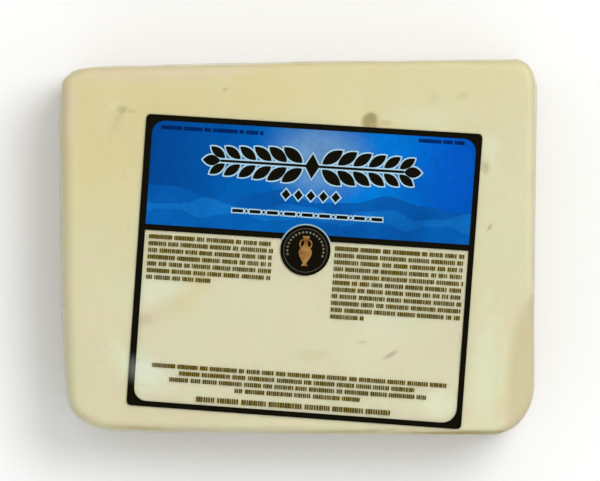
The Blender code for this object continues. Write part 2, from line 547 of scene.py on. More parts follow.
@functools.cache
def uneven_tone_group():
    """Soft patches: a value that wanders between 0 and 1 over the surface."""
    group, given, result = named_group(
        "Uneven Tone", (("Scale", 60.0), ("Detail", 3.0), ("Contrast", 2.0)), ("Tone",)
    )
    place = add_node(group, "ShaderNodeTexCoord").outputs["Object"]
    pattern = add_node(
        group,
        "ShaderNodeTexNoise",
        {"Vector": place, "Scale": given.outputs["Scale"], "Detail": given.outputs["Detail"]},
    )
    centred = maths(group, "SUBTRACT", pattern.outputs["Fac"], 0.5)
    spread = maths(group, "MULTIPLY", centred, given.outputs["Contrast"])
    feed(group, result.inputs["Tone"], maths(group, "ADD", spread, 0.5, clamp=True))
    return group


@functools.cache
def film_ripple_group():
    """Height of the film's fine ripples: long soft ones both ways, and a faint orange peel."""
    group, given, result = named_group(
        "Film Ripple", (("Ripples", 110.0), ("Stretch", 3.0), ("Peel", 0.2)), ("Height",)
    )
    place = add_node(group, "ShaderNodeTexCoord").outputs["Object"]
    parts = add_node(group, "ShaderNodeSeparateXYZ", {"Vector": place}).outputs
    heights = []
    for long_axis in ("X", "Y"):
        axes = {}
        for axis in "XYZ":
            axes[axis] = parts[axis]
            if axis == long_axis:
                axes[axis] = maths(group, "DIVIDE", parts[axis], given.outputs["Stretch"])
        vector = add_node(group, "ShaderNodeCombineXYZ", axes).outputs["Vector"]
        ripples = add_node(
            group,
            "ShaderNodeTexNoise",
            {"Vector": vector, "Scale": given.outputs["Ripples"], "Detail": 1.0},
        )
        heights.append(ripples.outputs["Fac"])
    both = maths(group, "ADD", *heights)
    peel_scale = maths(group, "MULTIPLY", given.outputs["Ripples"], PEEL_FINENESS)
    peel = add_node(group, "ShaderNodeTexNoise", {"Vector": place, "Scale": peel_scale})
    peel_height = maths(group, "MULTIPLY", peel.outputs["Fac"], given.outputs["Peel"])
    feed(group, result.inputs["Height"], maths(group, "ADD", both, peel_height))
    return group


def placed_group(tree, group, **values):
    """Places a node group in a material with its own values, and gives its one output."""
    node = tree.nodes.new("ShaderNodeGroup")
    node.location.x = NODE_STEP * len(tree.nodes)
    node.node_tree = group
    for label, value in values.items():
        feed(tree, node.inputs[label.replace("_", " ")], value)
    return node.outputs[0]


def new_material(name, **values):
    """A material with one Principled shader, whose plain values are set on its own sockets."""
    material = bpy.data.materials.new(name)
    material.use_nodes = True
    tree = material.node_tree
    shader = tree.nodes["Principled BSDF"]
    for label, value in values.items():
        feed(tree, shader.inputs[label.replace("_", " ")], value)
    return material, tree, shader


def add_bump(tree, shader, height, distance):
    bump = add_node(tree, "ShaderNodeBump", {"Height": height, "Distance": distance})
    feed(tree, shader.inputs["Normal"], bump.outputs["Normal"])


# The cheese


class Crease(NamedTuple):
    """A fold of the film, or a crack of the cheese, between two points of the block's skin. Ends
    is how much it thins towards its ends, 0 being not at all.
    """

    start: Vector
    end: Vector
    height: float
    width: float
    ends: float = 1.0


# How far into its rise a crease already is at its start
CREASE_ONSET = 0.12


def crease_lift(points, crease):
    """How far a crease lifts each point: most along its middle, fading to its two ends."""
    start, run = np.array(crease.start), np.array(crease.end - crease.start)
    share = np.clip((points - start) @ run / (run @ run), 0, 1)
    away = np.linalg.norm(points - start - share[:, None] * run, axis=1)
    turn = np.pi * (CREASE_ONSET + (1 - CREASE_ONSET) * share)
    fade = np.maximum(np.sin(turn), 0) ** crease.ends
    return crease.height * fade * np.exp(-((away / crease.width) ** 2))


def highest_lift(points, creases):
    """How far the highest of the creases lifts each point."""
    lift = np.zeros(len(points))
    for crease in creases:
        lift = np.maximum(lift, crease_lift(points, crease))
    return lift


class Mark(NamedTuple):
    """A mark on the broad face, with its place and half sizes in millimetres, and its turn in
    degrees. Depth is in millimetres too, ragged is how uneven its edge is, and power how crisp.
    """

    tone: str
    x: float
    y: float
    along: float
    across: float
    turn: float = 0.0
    depth: float = 0.0
    strength: float = 1.0
    ragged: float = 0.4
    power: float = 3.0


MARKS = (
    Mark("rosy", -38.0, 46.6, 24.0, 1.9, 1.5, 0.0, 0.8),
    Mark("rosy", -60.5, 36.0, 9.0, 1.7, 88, 0.0, 0.8),
    # A small dimple: the three brine marks paint its shade, and the pale mark after them paints a
    # highlight on its lit side
    Mark("brine_and_painted_shade", -46.9, 36.4, 1.3, 1.0, 20, 0.2, 0.4),
    Mark("brine_and_painted_shade", -44.9, 36.2, 1.6, 0.5, -5, 0.1, 0.3),
    Mark("brine_and_painted_shade", -48.3, 33.6, 3.2, 1.2, 60, 0.1, 0.2),
    Mark("pale", -49.3, 37.7, 1.4, 0.6, 20, 0.0, 0.3),
    # Painted shade: this mark and the next paint the shade at the bottom of small cracks
    Mark("painted_crack_shade", 24.4, -28.6, 2.0, 0.4, 28, 0.2, 0.45),
    Mark("painted_crack_shade", 50.7, 5.2, 1.0, 0.4, 60, 0.25, 0.35),
    Mark("brine_and_painted_shade", 49.4, 21.2, 1.3, 1.1, 80, 0.3, 0.35),
    # Painted shade at the bottom of a small crack
    Mark("painted_crack_shade", 16.9, -25.2, 1.2, 0.4, 10, 0.1, 0.3),
    Mark("tan", -19.6, 41.9, 0.7, 0.5, 0, 0.15, 0.8),
    Mark("tan", 36.0, 39.6, 1.4, 1.2, 15, 0.0, 0.3),
    Mark("tan", 43.3, 40.1, 1.2, 0.8, 15, 0.1, 0.5),
    Mark("brine_and_painted_shade", 18.9, 33.2, 1.6, 1.9, 0, 0.6, 1.0, 0.12, 7.0),
    Mark("tan", 20.3, 32.4, 0.9, 1.1, 0, 0.0, 0.6),
    Mark("tan", 22.8, 33.0, 1.8, 0.6, -5, 0.1, 0.8),
    Mark("butter", -29.0, -11.6, 6.0, 2.6, 52, 0.0, 0.9),
    Mark("tan", -36.5, -17.0, 5.6, 2.2, 30, 0.0, 0.35),
    Mark("tan", -40.9, -19.3, 1.8, 1.3, 10, 0.1, 0.8),
    Mark("tan", 3.6, -28.6, 3.4, 1.1, 0, 0.0, 0.45),
    Mark("tan", 60.2, -24.0, 3.6, 1.4, 86, 0.0, 0.7),
    Mark("tan", 57.5, -34.0, 5.0, 0.6, 84, 0.1, 0.7),
    Mark("tan", 55.5, -41.5, 3.0, 1.6, 60, 0.0, 0.3),
    Mark("tan", -42.5, -48.0, 5.5, 0.4, -3, 0.0, 1.0),
    # Painted shade: these two thin lines darken the round of the near edge
    Mark("brine_and_painted_shade", 43.0, -49.35, 12.0, 0.4, 1, 0.0, 0.9),
    Mark("brine_and_painted_shade", 12.0, -49.1, 12.0, 0.35, 2, 0.0, 0.4),
    # Painted reflections: the five pale marks from here on paint the film's glare as whitish
    # patches
    Mark("pale", -36.9, -10.5, 6.0, 4.0, 10, 0.0, 0.7),
    Mark("pale", -42.0, -32.2, 7.0, 3.0, -28, 0.0, 0.9),
    Mark("pale", 36.9, -41.9, 4.0, 2.6, 0, 0.0, 0.8),
    Mark("pale", 24.4, -19.8, 8.0, 5.0, 20, 0.0, 0.4),
    Mark("pale", 49.5, -33.0, 12.0, 3.2, 84, 0.0, 0.7),
    Mark("pale", 33.0, 34.5, 7.0, 2.5, -3, 0.0, 0.35),
    Mark("pale", 50.7, 25.8, 2.0, 2.6, 0, 0.0, 0.6),
)
TONES = ("rosy", "butter", "pale", "brine_and_painted_shade", "tan", "painted_crack_shade")
MARK_FALL = 1.3
MARK_GRAIN = 420.0
FACE_LOOKS_UP = 0.3

# The tan of the worn edge, which fades out down the wall: partly the worn cheese's own tone, partly
# painted shade that darkens the worn facet
WORN_TAN_AND_SHADE = 0.55
WORN_LOW = 0.55 * BLOCK_HEIGHT
WORN_STEP = 2.5

# Small pits of the cheese, spread by a seeded draw over every side
PIT_SEED = 7
PIT_COUNT = 260
PIT_RADIUS = (0.25 * MM, 1.2 * MM)
PIT_DEPTH = (0.08 * MM, 0.45 * MM)
PIT_ON_FACE = 0.15
# Pits are tinted tan by their depth, and the deepest ones brine: partly the cheese's own tone,
# partly painted shade in the hollows
PIT_TAN_AND_SHADE = 0.35
PIT_BRINE_AND_SHADE = 0.25

# Cracks on the walls: where they start, as shares of a wall, and how they wander from there
CRACK_SEED = 23
CRACK_COUNT = 30
CRACK_ALONG = (0.06, 0.88)
CRACK_HEIGHT = (0.2, 0.85)
CRACK_BENDS = 4
CRACK_STEP = (0.006, 0.03)
CRACK_RISE = 2.2 * MM
CRACK_DEPTH = (0.1 * MM, 0.4 * MM)
CRACK_WIDTH = 0.35 * MM
CRACK_ENDS = 0.3
# Cracks are tinted tan by their depth: partly the cheese's own tone, partly painted shade in them
CRACK_TAN_AND_SHADE = 0.45

# The faint grooves between the curds on the walls, which show in patches
CURD_SIZE = 7.5 * MM
CURD_GAP = 0.13
CURD_DEPTH = 0.1 * MM
CURD_SHOWN = 0.6
CURD_PATCHES = 1.6

# The walls' own tan, in patches, and how far up a wall looks where it ends and is full
WALL_TAN = 0.3
WALL_TAN_SHOWN = 0.3
WALL_TAN_PATCHES = 2.0
WALL_LOOKS = (0.75, 0.25)

# Lumps and grain all over, the share of the film's folds that the cheese follows, and its flat base
LUMP_SIZE = 9.0 * MM
GRAIN_SIZE = 2.2 * MM
GRAIN_SHARE = 0.3
CREASE_PRINT = 0.9
FLAT_BELOW = 0.01 * MM


def ragged(points, grain):
    """A soft random value for each point, about -0.5 to 0.5."""
    return np.array([noise.noise(Vector(point) * grain) for point in points])


def mark_weights(points, normals, mark, rough):
    """How strongly a mark shows at each point: 1 at its middle, and ragged at its edge."""
    away_x = points[:, 0] - mark.x * MM
    away_y = points[:, 1] - mark.y * MM
    cos, sin = math.cos(math.radians(mark.turn)), math.sin(math.radians(mark.turn))
    along = (away_x * cos + away_y * sin) / (mark.along * MM)
    across = (away_y * cos - away_x * sin) / (mark.across * MM)
    distance = np.hypot(along, across) * (1 + mark.ragged * rough)
    weights = np.exp(-((distance / MARK_FALL) ** mark.power))
    return weights * (normals[:, 2] > FACE_LOOKS_UP)


def pit_depths(points, normals):
    """Depth of the small pits at each point, much less on the smooth upper face."""
    draw = random.Random(PIT_SEED)
    depths = np.zeros(len(points))
    for centre in draw.sample(range(len(points)), PIT_COUNT):
        radius = draw.uniform(*PIT_RADIUS)
        away = np.linalg.norm(points - points[centre], axis=1) / radius
        depths = np.maximum(depths, draw.uniform(*PIT_DEPTH) * np.exp(-(away**2)))
    return depths * np.where(normals[:, 2] > FACE_LOOKS_UP, PIT_ON_FACE, 1.0)


def wall_cracks():
    """Short cracks that wander along the walls, mostly level."""
    draw = random.Random(CRACK_SEED)
    cracks = []
    for _ in range(CRACK_COUNT):
        wall = draw.choice(WALLS)
        share, height = draw.uniform(*CRACK_ALONG), draw.uniform(*CRACK_HEIGHT) * BLOCK_HEIGHT
        shape = (draw.uniform(*CRACK_DEPTH), CRACK_WIDTH, CRACK_ENDS)
        bends = []
        for _ in range(CRACK_BENDS):
            bends.append(on_wall(wall, share, height))
            share += draw.uniform(*CRACK_STEP)
            height += draw.uniform(-CRACK_RISE, CRACK_RISE)
        cracks += [Crease(start, end, *shape) for start, end in zip(bends, bends[1:])]
    return cracks


def curd_grooves(points):
    """Up to 1 along the borders between the curds that the block was pressed from, in patches."""
    gaps = []
    for point in points:
        nearest = noise.voronoi(Vector(point) / CURD_SIZE)[0]
        gaps.append(nearest[1] - nearest[0])
    grooves = np.exp(-((np.array(gaps) / CURD_GAP) ** 2))
    return grooves * np.clip(CURD_SHOWN + CURD_PATCHES * ragged(points, 1 / LUMP_SIZE), 0, 1)


def wall_share(normals):
    """1 on the upright walls and 0 on the broad face and the base, with a slope between."""
    none, full = WALL_LOOKS
    return np.clip((none - np.abs(normals[:, 2])) / (none - full), 0, 1)


def worn_tan_and_painted_shade(points):
    """How tan the worn edge is at each point: partly its own tone, partly painted shade on the worn
    facet.
    """
    worn = np.array([worn_share(x, y) for x, y in points[:, :2]])
    worn *= np.clip((points[:, 2] - WORN_LOW) / (BLOCK_HEIGHT - WORN_DROP - WORN_LOW), 0, 1)
    return WORN_TAN_AND_SHADE * np.minimum(worn * WORN_STEP, 1)


def cheese_mesh(settings):
    """The cheese, a little inside its film, with lumps, grain, pits, cracks and marks."""
    mesh = bmesh.new()
    verts = add_block(mesh, *CHEESE_GRID)
    points, normals = points_and_normals(verts)
    rough = ragged(points, MARK_GRAIN)
    lumps = ragged(points, 1 / LUMP_SIZE)
    wall = wall_share(normals)
    pits = pit_depths(points, normals)
    cracks = highest_lift(points, wall_cracks()) * wall
    grooves = CURD_DEPTH * wall * curd_grooves(points)
    depths = np.maximum.reduce([pits, cracks, grooves])
    # Tan from pits, cracks, walls and the worn edge; on pits, cracks and the worn edge it is partly
    # painted shade
    tans_and_shade = (
        PIT_TAN_AND_SHADE * pits / PIT_DEPTH[1],
        CRACK_TAN_AND_SHADE * cracks / CRACK_DEPTH[1],
        WALL_TAN * wall * np.clip(WALL_TAN_SHOWN + WALL_TAN_PATCHES * lumps, 0, 1),
        worn_tan_and_painted_shade(points),
    )
    tones = {tone: np.zeros(len(points)) for tone in TONES}
    tones["tan"] = np.maximum.reduce(tans_and_shade)
    tones["brine_and_painted_shade"] = PIT_BRINE_AND_SHADE * np.clip(2 * pits / PIT_DEPTH[1] - 1, 0, 1)
    for mark in MARKS:
        weights = mark_weights(points, normals, mark, rough)
        tones[mark.tone] = np.maximum(tones[mark.tone], weights * mark.strength)
        depths = np.maximum(depths, weights * mark.depth * MM)
    lumps += GRAIN_SHARE * ragged(points, 1 / GRAIN_SIZE)
    depths += settings.contact + settings.lumps * (lumps + 0.5)
    depths -= CREASE_PRINT * highest_lift(points, film_creases()) * wall
    depths[points[:, 2] < FLAT_BELOW] = settings.contact
    move_points(verts, points - normals * depths[:, None])
    for tone, values in tones.items():
        keep_values(mesh, tone, values)
    return mesh


# Where the cheese yellows, towards its far left corner, and how much its patches add to that
YELLOW_SLANT = -0.35
YELLOW_RANGE = (-12.0 * MM, 66.0 * MM)
YELLOW_HELD_BACK = 0.25
YELLOW_PATCHES = 0.3

# Other patches of colour: the tone that each starts at, the tone that it is full at, and its share
ROSY_PATCHES = (0.4, 0.7, 0.55)
PALE_PATCHES = (0.5, 1.0, 0.15)
PALE_SPECKS = (0.75, 1.0, 0.12)
CHEESE_ROUGHNESS = (0.4, 0.2)


def cheese_material(settings):
    material, tree, shader = new_material(
        "feta_cheese", Roughness=0.5, IOR=1.4, Subsurface_Weight=0.25, Subsurface_Scale=1.5 * MM
    )
    shader.inputs["Subsurface Radius"].default_value = (1.0, 0.8, 0.5)
    patches = placed_group(tree, uneven_tone_group(), Scale=38.0, Detail=2.0, Contrast=3.0)
    blotches = placed_group(tree, uneven_tone_group(), Scale=130.0, Detail=3.0, Contrast=2.4)
    grain = placed_group(tree, uneven_tone_group(), Scale=900.0, Detail=4.0, Contrast=1.5)

    place = add_node(tree, "ShaderNodeTexCoord").outputs["Object"]
    parts = add_node(tree, "ShaderNodeSeparateXYZ", {"Vector": place}).outputs
    to_far_left = maths(tree, "MULTIPLY_ADD", parts["X"], YELLOW_SLANT, parts["Y"])
    yellow = soft_range(tree, to_far_left, *YELLOW_RANGE)
    yellow = maths(tree, "SUBTRACT", yellow, YELLOW_HELD_BACK)
    yellow = maths(tree, "MULTIPLY_ADD", patches, YELLOW_PATCHES, yellow, clamp=True)
    rosy = soft_share(tree, blotches, *ROSY_PATCHES)
    colour = mix_colours(tree, rosy, settings.cream, settings.rosy)
    colour = mix_colours(tree, yellow, colour, settings.butter)
    colour = mix_colours(tree, soft_share(tree, blotches, *PALE_PATCHES), colour, settings.pale)
    for tone in TONES:
        amount = add_node(tree, "ShaderNodeAttribute", attribute_name=tone).outputs["Fac"]
        colour = mix_colours(tree, amount, colour, getattr(settings, tone))
    colour = mix_colours(tree, soft_share(tree, grain, *PALE_SPECKS), colour, settings.pale)
    feed(tree, shader.inputs["Base Color"], colour)
    least, added = CHEESE_ROUGHNESS
    feed(tree, shader.inputs["Roughness"], maths(tree, "MULTIPLY_ADD", grain, added, least))
    add_bump(tree, shader, maths(tree, "ADD", grain, blotches), distance=0.03 * MM)
    return material


# The film


# Folds at the corners. Each size and width is a share of the usual one
CREASE_SEED = 11
CORNER_CREASES = 7
CORNER_SPREAD = math.radians(64)
CORNER_SWAY = 0.12
CORNER_SIZE = (0.3, 0.8)
CORNER_WIDTH = (0.7, 1.3)
CREASE_OFF = 1.0 * MM
CREASE_LENGTH = (6.0 * MM, 15.0 * MM)
FACE_CREASE_SHARE = 0.2
FOOT_DROP = (0.3, 0.9)
FOOT_SWAY = 9.0 * MM
FOOT_OUT = 2.0 * MM

# Folds along the walls: where they start and how far they run, as shares of the wall
WALL_CREASES = 16
WALL_START = (0.02, 0.75)
WALL_RUN = (0.08, 0.3)
WALL_HEIGHT = (0.15, 0.8)
WALL_SWAY = 4.0 * MM
WALL_SIZE = (0.3, 0.8)
WALL_WIDTH = (0.8, 1.6)

# The seams across the two end walls, and their puckers
SEAM_HEIGHTS = (13.0 * MM, 15.0 * MM)
SEAM_REACH = (0.07, 0.93)
SEAM_PARTS = 14
SEAM_WIDTH = 0.8 * MM
PUCKERS = 26
PUCKER_LENGTH = (3.0 * MM, 9.0 * MM)
PUCKER_LEAN = 0.03
PUCKER_SIZE = (0.3, 0.7)
PUCKER_WIDTH = 0.7

# How much rougher the film is on a fold
FOLD_ROUGHNESS = 0.3

# Where folds fade in: out from the sheet's edge, and down from the broad face
LABEL_CLEAR = (1.0 * MM, 4.0 * MM)
FACE_CLEAR = (5.0 * MM, 6.0 * MM)


def corner_creases(draw, settings):
    """Fans of folds that run in over the broad face from its corners, and down the walls."""
    creases = []
    for side_x, side_y in CORNERS:
        corner = block_point(side_x, side_y, EDGE_ROUND[0] / 2, BLOCK_HEIGHT)
        middle = math.atan2(-side_y * BLOCK_WIDTH, -side_x * BLOCK_LENGTH)
        for k in range(CORNER_CREASES):
            share = 2 * k / (CORNER_CREASES - 1) - 1
            angle = middle + share * CORNER_SPREAD + draw.uniform(-CORNER_SWAY, CORNER_SWAY)
            way = Vector((math.cos(angle), math.sin(angle), 0))
            start, end = corner + way * CREASE_OFF, corner + way * draw.uniform(*CREASE_LENGTH)
            height = settings.crease_height * draw.uniform(*CORNER_SIZE)
            width = settings.crease_width * draw.uniform(*CORNER_WIDTH)
            creases.append(Crease(start, end, height * FACE_CREASE_SHARE, width))
            foot = corner + Vector((0, 0, -draw.uniform(*FOOT_DROP) * BLOCK_HEIGHT))
            foot += Vector((way.y, -way.x, 0)) * draw.uniform(-FOOT_SWAY, FOOT_SWAY)
            foot += Vector((side_x, side_y, 0)) * FOOT_OUT
            creases.append(Crease(corner, foot, height, width))
    return creases


def wall_creases(draw, settings):
    """Slack folds that run along the four walls."""
    creases = []
    for wall in WALLS:
        for _ in range(WALL_CREASES):
            first = draw.uniform(*WALL_START)
            last = min(first + draw.uniform(*WALL_RUN), 1)
            height = draw.uniform(*WALL_HEIGHT) * BLOCK_HEIGHT
            ends = []
            for share in (first, last):
                ends.append(on_wall(wall, share, height))
                height += draw.uniform(-WALL_SWAY, WALL_SWAY)
            size = settings.crease_height * draw.uniform(*WALL_SIZE)
            creases.append(Crease(*ends, size, settings.crease_width * draw.uniform(*WALL_WIDTH)))
    return creases


def seam_creases(draw, settings):
    """The welded seam across each end wall, with the puckers that run out from it."""
    creases = []
    low, high = SEAM_REACH
    for wall, height in zip(WALLS, SEAM_HEIGHTS):
        shares = [low + (high - low) * k / SEAM_PARTS for k in range(SEAM_PARTS + 1)]
        line = [on_wall(wall, share, height) for share in shares]
        for start, end in zip(line, line[1:]):
            creases.append(Crease(start, end, settings.crease_height, SEAM_WIDTH, 0))
        for _ in range(PUCKERS):
            share = draw.uniform(low, high)
            length = draw.uniform(*PUCKER_LENGTH) * draw.choice((-1, 1))
            lean = draw.uniform(-PUCKER_LEAN, PUCKER_LEAN)
            ends = (on_wall(wall, share, height), on_wall(wall, share + lean, height + length))
            size = settings.crease_height * draw.uniform(*PUCKER_SIZE)
            creases.append(Crease(*ends, size, settings.crease_width * PUCKER_WIDTH))
    return creases


@functools.cache
def film_creases():
    """All folds of the film."""
    draw = random.Random(CREASE_SEED)
    settings = bpy.context.scene.feta.film
    creases = []
    for part in (corner_creases, wall_creases, seam_creases):
        creases += part(draw, settings)
    return creases


def label_clearance(points):
    """0 on the label and close round it, and 1 further out, so that folds keep off it."""
    x = points[:, 0] - LABEL_CENTRE[0]
    y = points[:, 1] - LABEL_CENTRE[1]
    cos, sin = math.cos(LABEL_TURN), math.sin(LABEL_TURN)
    out_x = np.abs(x * cos + y * sin) - SHEET_LENGTH / 2
    out_y = np.abs(y * cos - x * sin) - SHEET_WIDTH / 2
    ways = ((np.maximum(out_x, out_y), LABEL_CLEAR), (BLOCK_HEIGHT - points[:, 2], FACE_CLEAR))
    beside, below = (np.clip((away - near) / (far - near), 0, 1) for away, (near, far) in ways)
    return np.maximum(beside, below)


def film_mesh(settings):
    """The film as a closed shell: an outer face with folds, and an inner one just inside it."""
    mesh = bmesh.new()
    outer = add_block(mesh, *FILM_GRID)
    points, normals = points_and_normals(outer)
    lift = highest_lift(points, film_creases()) * label_clearance(points)
    lift[points[:, 2] < BASE_ROUND / 2] = 0
    move_points(outer, points + normals * lift[:, None])
    outer_faces = len(mesh.faces)
    inner = add_block(mesh, *INNER_GRID)
    points, normals = points_and_normals(inner)
    move_points(inner, points - normals * settings.thickness)
    bmesh.ops.reverse_faces(mesh, faces=mesh.faces[outer_faces:])
    keep_values(mesh, "fold", lift / settings.crease_height)
    return mesh


def film_material(settings):
    material, tree, shader = new_material("clear_film", IOR=1.22, Transmission_Weight=1.0)
    fold = add_node(tree, "ShaderNodeAttribute", attribute_name="fold").outputs["Fac"]
    roughness = maths(tree, "MULTIPLY_ADD", fold, FOLD_ROUGHNESS, settings.roughness)
    feed(tree, shader.inputs["Roughness"], roughness)
    ripples = placed_group(tree, film_ripple_group(), Ripples=110.0, Stretch=3.0, Peel=0.15)
    add_bump(tree, shader, ripples, distance=0.12 * MM)
    return material


# The label


@functools.cache
def skin_tree():
    """The film's plain outer face, for laying the label on it."""
    mesh = bmesh.new()
    add_block(mesh, *FILM_GRID)
    tree = BVHTree.FromBMesh(mesh)
    mesh.free()
    return tree


def skin_height(x, y):
    met = skin_tree().ray_cast(Vector((x, y, RAY_HEIGHT)), Vector((0, 0, -1)))[0]
    if met is None:
        raise RuntimeError(f"the label runs off the block at {x:.4f}, {y:.4f}")
    return met.z


def on_block(x, y):
    """A place given from the label's middle, on the block's plan. The film has pulled the
    label's corners out of square.
    """
    share_x, share_y = 2 * x / (PRINT_LENGTH * MM), 2 * y / (PRINT_WIDTH * MM)
    for (side_x, side_y), (pull_x, pull_y) in CORNER_PULL.items():
        weight = (1 + side_x * share_x) * (1 + side_y * share_y) / 4
        x += weight * pull_x
        y += weight * pull_y
    cos, sin = math.cos(LABEL_TURN), math.sin(LABEL_TURN)
    return LABEL_CENTRE[0] + x * cos - y * sin, LABEL_CENTRE[1] + x * sin + y * cos


def in_metres(points):
    """Label millimetres as metres from the label's middle, with +Y up the label."""
    return [Vector(((a - PRINT_LENGTH / 2) * MM, (PRINT_WIDTH / 2 - d) * MM)) for a, d in points]


def anticlockwise(points):
    """An outline in metres, turned round if it runs clockwise."""
    places = in_metres(points)
    area = sum(p.cross(q) for p, q in zip(places, places[1:] + places[:1]))
    return places if area > 0 else places[::-1]


def add_outline(mesh, points):
    """Adds one flat convex shape, given in label millimetres, as a face that looks up."""
    mesh.faces.new([mesh.verts.new((*place, 0)) for place in anticlockwise(points)])


def joined_mesh(outlines):
    """Outlines that may overlap, in label millimetres, as one sheet without overlaps."""
    mesh = bmesh.new()
    points, faces = [], []
    for outline in outlines:
        faces.append(list(range(len(points), len(points) + len(outline))))
        points += anticlockwise(outline)
    made = delaunay_2d_cdt(points, [], faces, JOIN_INSIDE, JOIN_DISTANCE)
    places, corners_of, sources_of = made[0], made[2], made[5]
    used = [corners for corners, sources in zip(corners_of, sources_of) if sources]
    verts = {k: mesh.verts.new((*places[k], 0)) for k in sorted({k for face in used for k in face})}
    for corners in used:
        mesh.faces.new([verts[k] for k in corners])
    return mesh


def add_strip(mesh, first, second, closed=False):
    """Fills the space between two lines of as many points, cell by cell, with shared edges."""
    lines = []
    for line in (first, second):
        lines.append([mesh.verts.new((*place, 0)) for place in in_metres(line)])
    count = len(first)
    made = []
    for k in range(count if closed else count - 1):
        after = (k + 1) % count
        made.append(mesh.faces.new((lines[0][k], lines[0][after], lines[1][after], lines[1][k])))
    mesh.normal_update()
    looking_down = [face for face in made if face.normal.z < 0]
    bmesh.ops.reverse_faces(mesh, faces=looking_down)


def box_points(left, top, right, bottom):
    return ((left, top), (right, top), (right, bottom), (left, bottom))


def add_box(mesh, *sides):
    add_outline(mesh, box_points(*sides))


def arc_points(centre, radius, arc, steps):
    """Points on an arc from its first angle to its last, both ends among them."""
    first, last = arc
    turns = [first + (last - first) * k / steps for k in range(steps + 1)]
    return [(centre[0] + radius * math.cos(t), centre[1] + radius * math.sin(t)) for t in turns]


def ring_points(centre, radius, steps=72):
    return arc_points(centre, radius, (0, 2 * math.pi), steps)[:-1]


def rounded_box(left, top, right, bottom, radii, steps=8):
    """Points round a box whose corners are arcs, clockwise on the label from its upper left one."""
    ways = ((1, 1), (-1, 1), (-1, -1), (1, -1))
    corners = box_points(left, top, right, bottom)
    points = []
    for number, ((a, d), (way_a, way_d), radius) in enumerate(zip(corners, ways, radii)):
        first = math.pi * (1 + number / 2)
        centre = (a + way_a * radius, d + way_d * radius)
        points += arc_points(centre, radius, (first, first + math.pi / 2), steps)
    return points


def cut_to_cells(mesh):
    """Cuts flat print into short cells, so that it follows the skin."""
    for axis in (0, 1):
        low = min(vert.co[axis] for vert in mesh.verts)
        high = max(vert.co[axis] for vert in mesh.verts)
        count = math.ceil((high - low) / PRINT_CELL)
        for k in range(1, count):
            place, way = Vector(), Vector()
            place[axis] = low + (high - low) * k / count
            way[axis] = 1
            everything = mesh.verts[:] + mesh.edges[:] + mesh.faces[:]
            bmesh.ops.bisect_plane(mesh, geom=everything, plane_co=place, plane_no=way)


def thicken(mesh, thickness):
    """Closes flat print into a thin solid: a copy of it below, and a wall round each rim."""
    rims = []
    for face in mesh.faces:
        for loop in face.loops:
            if loop.edge.is_boundary:
                rims.append((loop.vert, loop.link_loop_next.vert))
    faces = mesh.faces[:]
    drop = Vector((0, 0, thickness))
    below = {vert: mesh.verts.new(vert.co - drop) for vert in mesh.verts[:]}
    for face in faces:
        mesh.faces.new([below[vert] for vert in reversed(face.verts)])
    for start, end in rims:
        mesh.faces.new((below[start], below[end], end, start))


def lay_on_skin(mesh, top, thickness=INK_THICKNESS):
    """Lays flat print on the film, with its upper face this far above it."""
    cut_to_cells(mesh)
    thicken(mesh, thickness)
    for vert in mesh.verts:
        x, y = on_block(vert.co.x, vert.co.y)
        vert.co = (x, y, skin_height(x, y) + top + vert.co.z)
    mesh.normal_update()


def add_print(name, mesh, ink):
    """Lays flat print on the film at its layer's height, and makes it a piece."""
    lay_on_skin(mesh, SHEET_TOP + INK_LAYERS[name] * LAYER_STEP)
    add_piece(name, mesh, ink)


# A painted reflection on the label, a whitish patch of glare: its place and half sizes, turned by
# an angle
PAINTED_GLARE_PLACE = (-41.0 * MM, -33.0 * MM)
PAINTED_GLARE_HALF = (10.0 * MM, 5.0 * MM)
PAINTED_GLARE_TURN = math.radians(-20)
PAINTED_GLARE_SHARE = 0.18
PAINTED_GLARE_ON_INK = 0.17
SHEET_ALPHA = 0.05

# The finish of every ink: how uneven it is, its least roughness, and what its tone adds to that
INK_IOR = 1.12
INK_UNEVEN = 0.2
INK_ROUGHNESS = (0.1, 0.06)


@functools.cache
def oval_patch_group():
    """1 in the middle of a turned oval on the block's plan, fading to 0 at its rim."""
    names = (("X", 0.0), ("Y", 0.0), ("Half Length", 0.01), ("Half Width", 0.01), ("Turn", 0.0))
    group, given, result = named_group("Oval Patch", names, ("Mask",))
    place = add_node(group, "ShaderNodeTexCoord").outputs["Object"]
    middle = {"X": given.outputs["X"], "Y": given.outputs["Y"]}
    middle = add_node(group, "ShaderNodeCombineXYZ", middle).outputs["Vector"]
    turn = add_node(group, "ShaderNodeCombineXYZ", {"Z": given.outputs["Turn"]}).outputs["Vector"]
    inputs = {"Vector": place, "Location": middle, "Rotation": turn}
    moved = add_node(group, "ShaderNodeMapping", inputs, vector_type="TEXTURE")
    parts = add_node(group, "ShaderNodeSeparateXYZ", {"Vector": moved.outputs["Vector"]}).outputs
    along = maths(group, "DIVIDE", parts["X"], given.outputs["Half Length"])
    across = maths(group, "DIVIDE", parts["Y"], given.outputs["Half Width"])
    away = distance_away(group, along, across)
    feed(group, result.inputs["Mask"], soft_range(group, away, 1.0, 0.0))
    return group


def painted_glare_patch(tree):
    (x, y), (length, width) = PAINTED_GLARE_PLACE, PAINTED_GLARE_HALF
    sizes = {"Half_Length": length, "Half_Width": width}
    return placed_group(tree, oval_patch_group(), X=x, Y=y, Turn=PAINTED_GLARE_TURN, **sizes)


